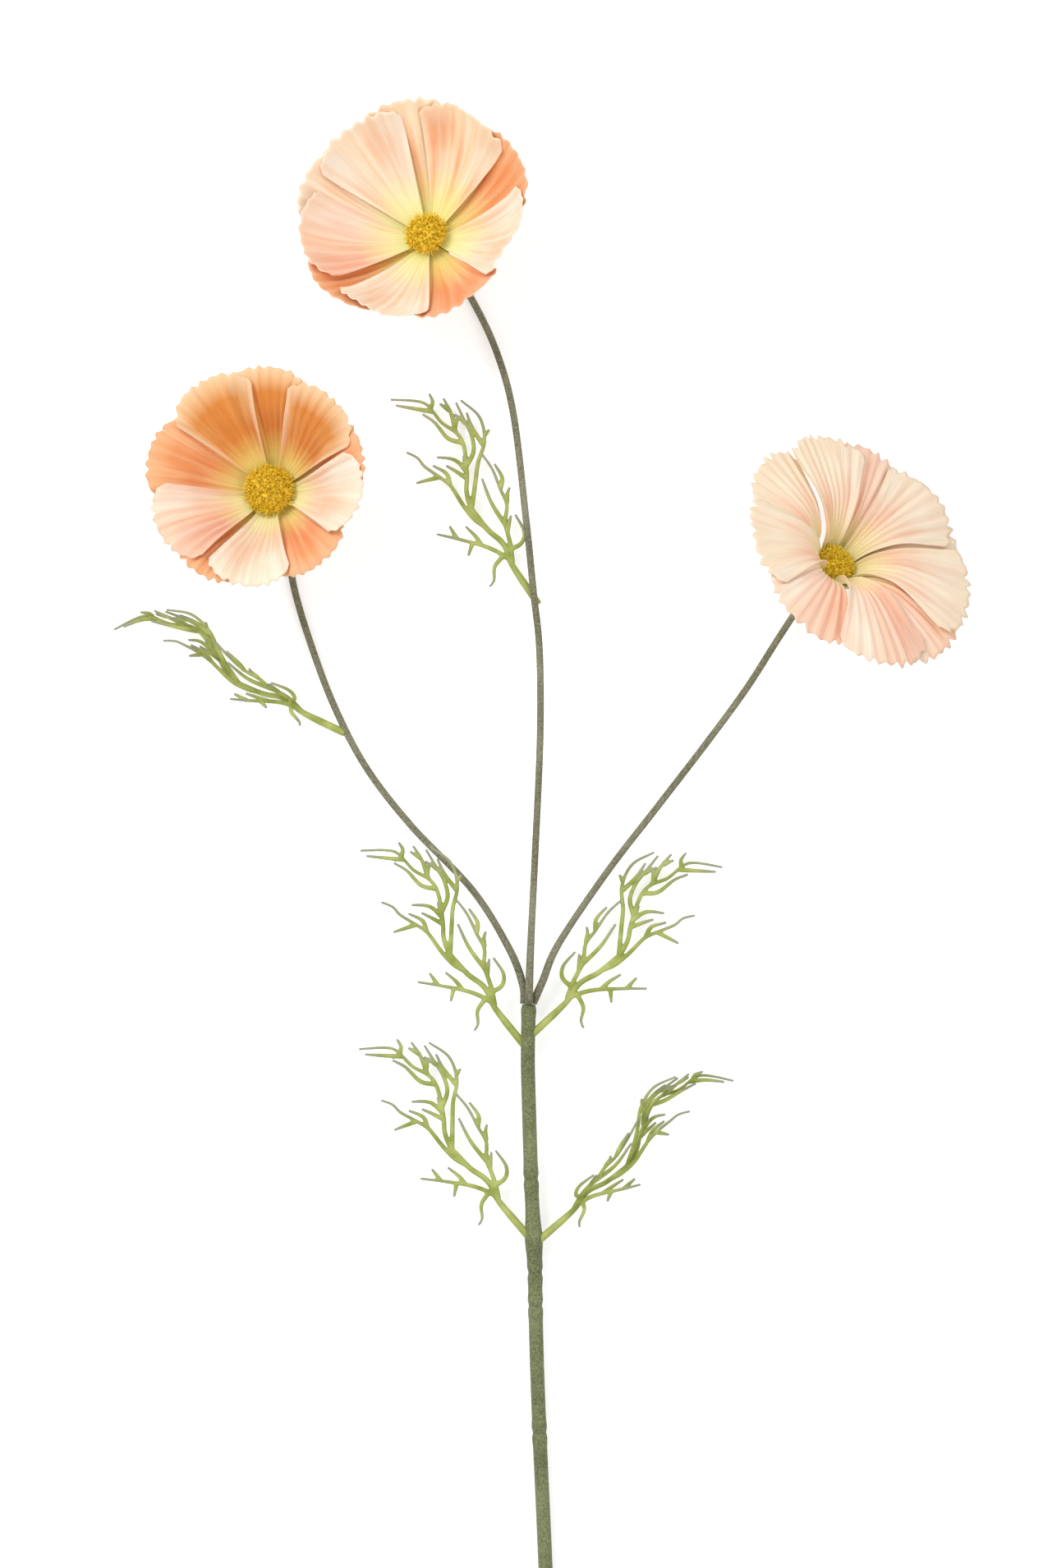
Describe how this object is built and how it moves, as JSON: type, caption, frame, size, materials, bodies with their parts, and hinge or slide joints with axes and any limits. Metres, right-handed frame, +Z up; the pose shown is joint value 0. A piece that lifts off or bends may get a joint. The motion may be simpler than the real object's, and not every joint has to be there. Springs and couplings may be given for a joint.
{
  "type": "artificial cosmos flower spray",
  "caption": "Cut cosmos spray lying down: forked stem, cupped pleated blossoms with domed yellow discs, and feathery leaves.",
  "frame": {"origin": "middle of the base of the spray's bounding box, on the surface it lies on", "axes": "+Y along the stem towards the flowers, +Z up, the way the blossoms face, +X towards the right branch"},
  "size_m": [0.2936, 0.5978, 0.059],
  "materials": {
    "front_petals": "pleated polyester fabric, peach to cream, matt",
    "back_petals": "pleated polyester fabric, orange to peach, matt",
    "disc_florets": "dense golden filaments",
    "calyx": "moulded green plastic",
    "leaf": "moulded soft plastic, yellow green with greyish tips",
    "stem": "flocked olive green plastic",
    "branch": "flocked grey-green plastic"
  },
  "bodies": {
    "root": {"left_back_petal_1": "back_petals", "left_back_petal_2": "back_petals", "left_back_petal_3": "back_petals", "left_back_petal_4": "back_petals", "left_back_petal_5": "back_petals", "left_branch": "branch", "left_branch_leaf": "leaf", "left_calyx": "calyx", "left_disc": "disc_florets", "left_front_petal_1": "front_petals", "left_front_petal_2": "front_petals", "left_front_petal_3": "front_petals", "left_front_petal_4": "front_petals", "left_front_petal_5": "front_petals", "lower_left_leaf": "leaf", "lower_right_leaf": "leaf", "right_back_petal_1": "back_petals", "right_back_petal_2": "back_petals", "right_back_petal_3": "back_petals", "right_back_petal_4": "back_petals", "right_back_petal_5": "back_petals", "right_branch": "branch", "right_calyx": "calyx", "right_disc": "disc_florets", "right_front_petal_1": "front_petals", "right_front_petal_2": "front_petals", "right_front_petal_3": "front_petals", "right_front_petal_4": "front_petals", "right_front_petal_5": "front_petals", "stem_collar": "stem", "stem_leaf_joint": "stem", "stem_lower": "stem", "stem_middle": "stem", "stem_upper": "stem", "top_back_petal_1": "back_petals", "top_back_petal_2": "back_petals", "top_back_petal_3": "back_petals", "top_back_petal_4": "back_petals", "top_back_petal_5": "back_petals", "top_branch": "branch", "top_branch_leaf": "leaf", "top_calyx": "calyx", "top_disc": "disc_florets", "top_front_petal_1": "front_petals", "top_front_petal_2": "front_petals", "top_front_petal_3": "front_petals", "top_front_petal_4": "front_petals", "top_front_petal_5": "front_petals", "upper_left_leaf": "leaf", "upper_right_leaf": "leaf"}
  },
  "joints": []
}
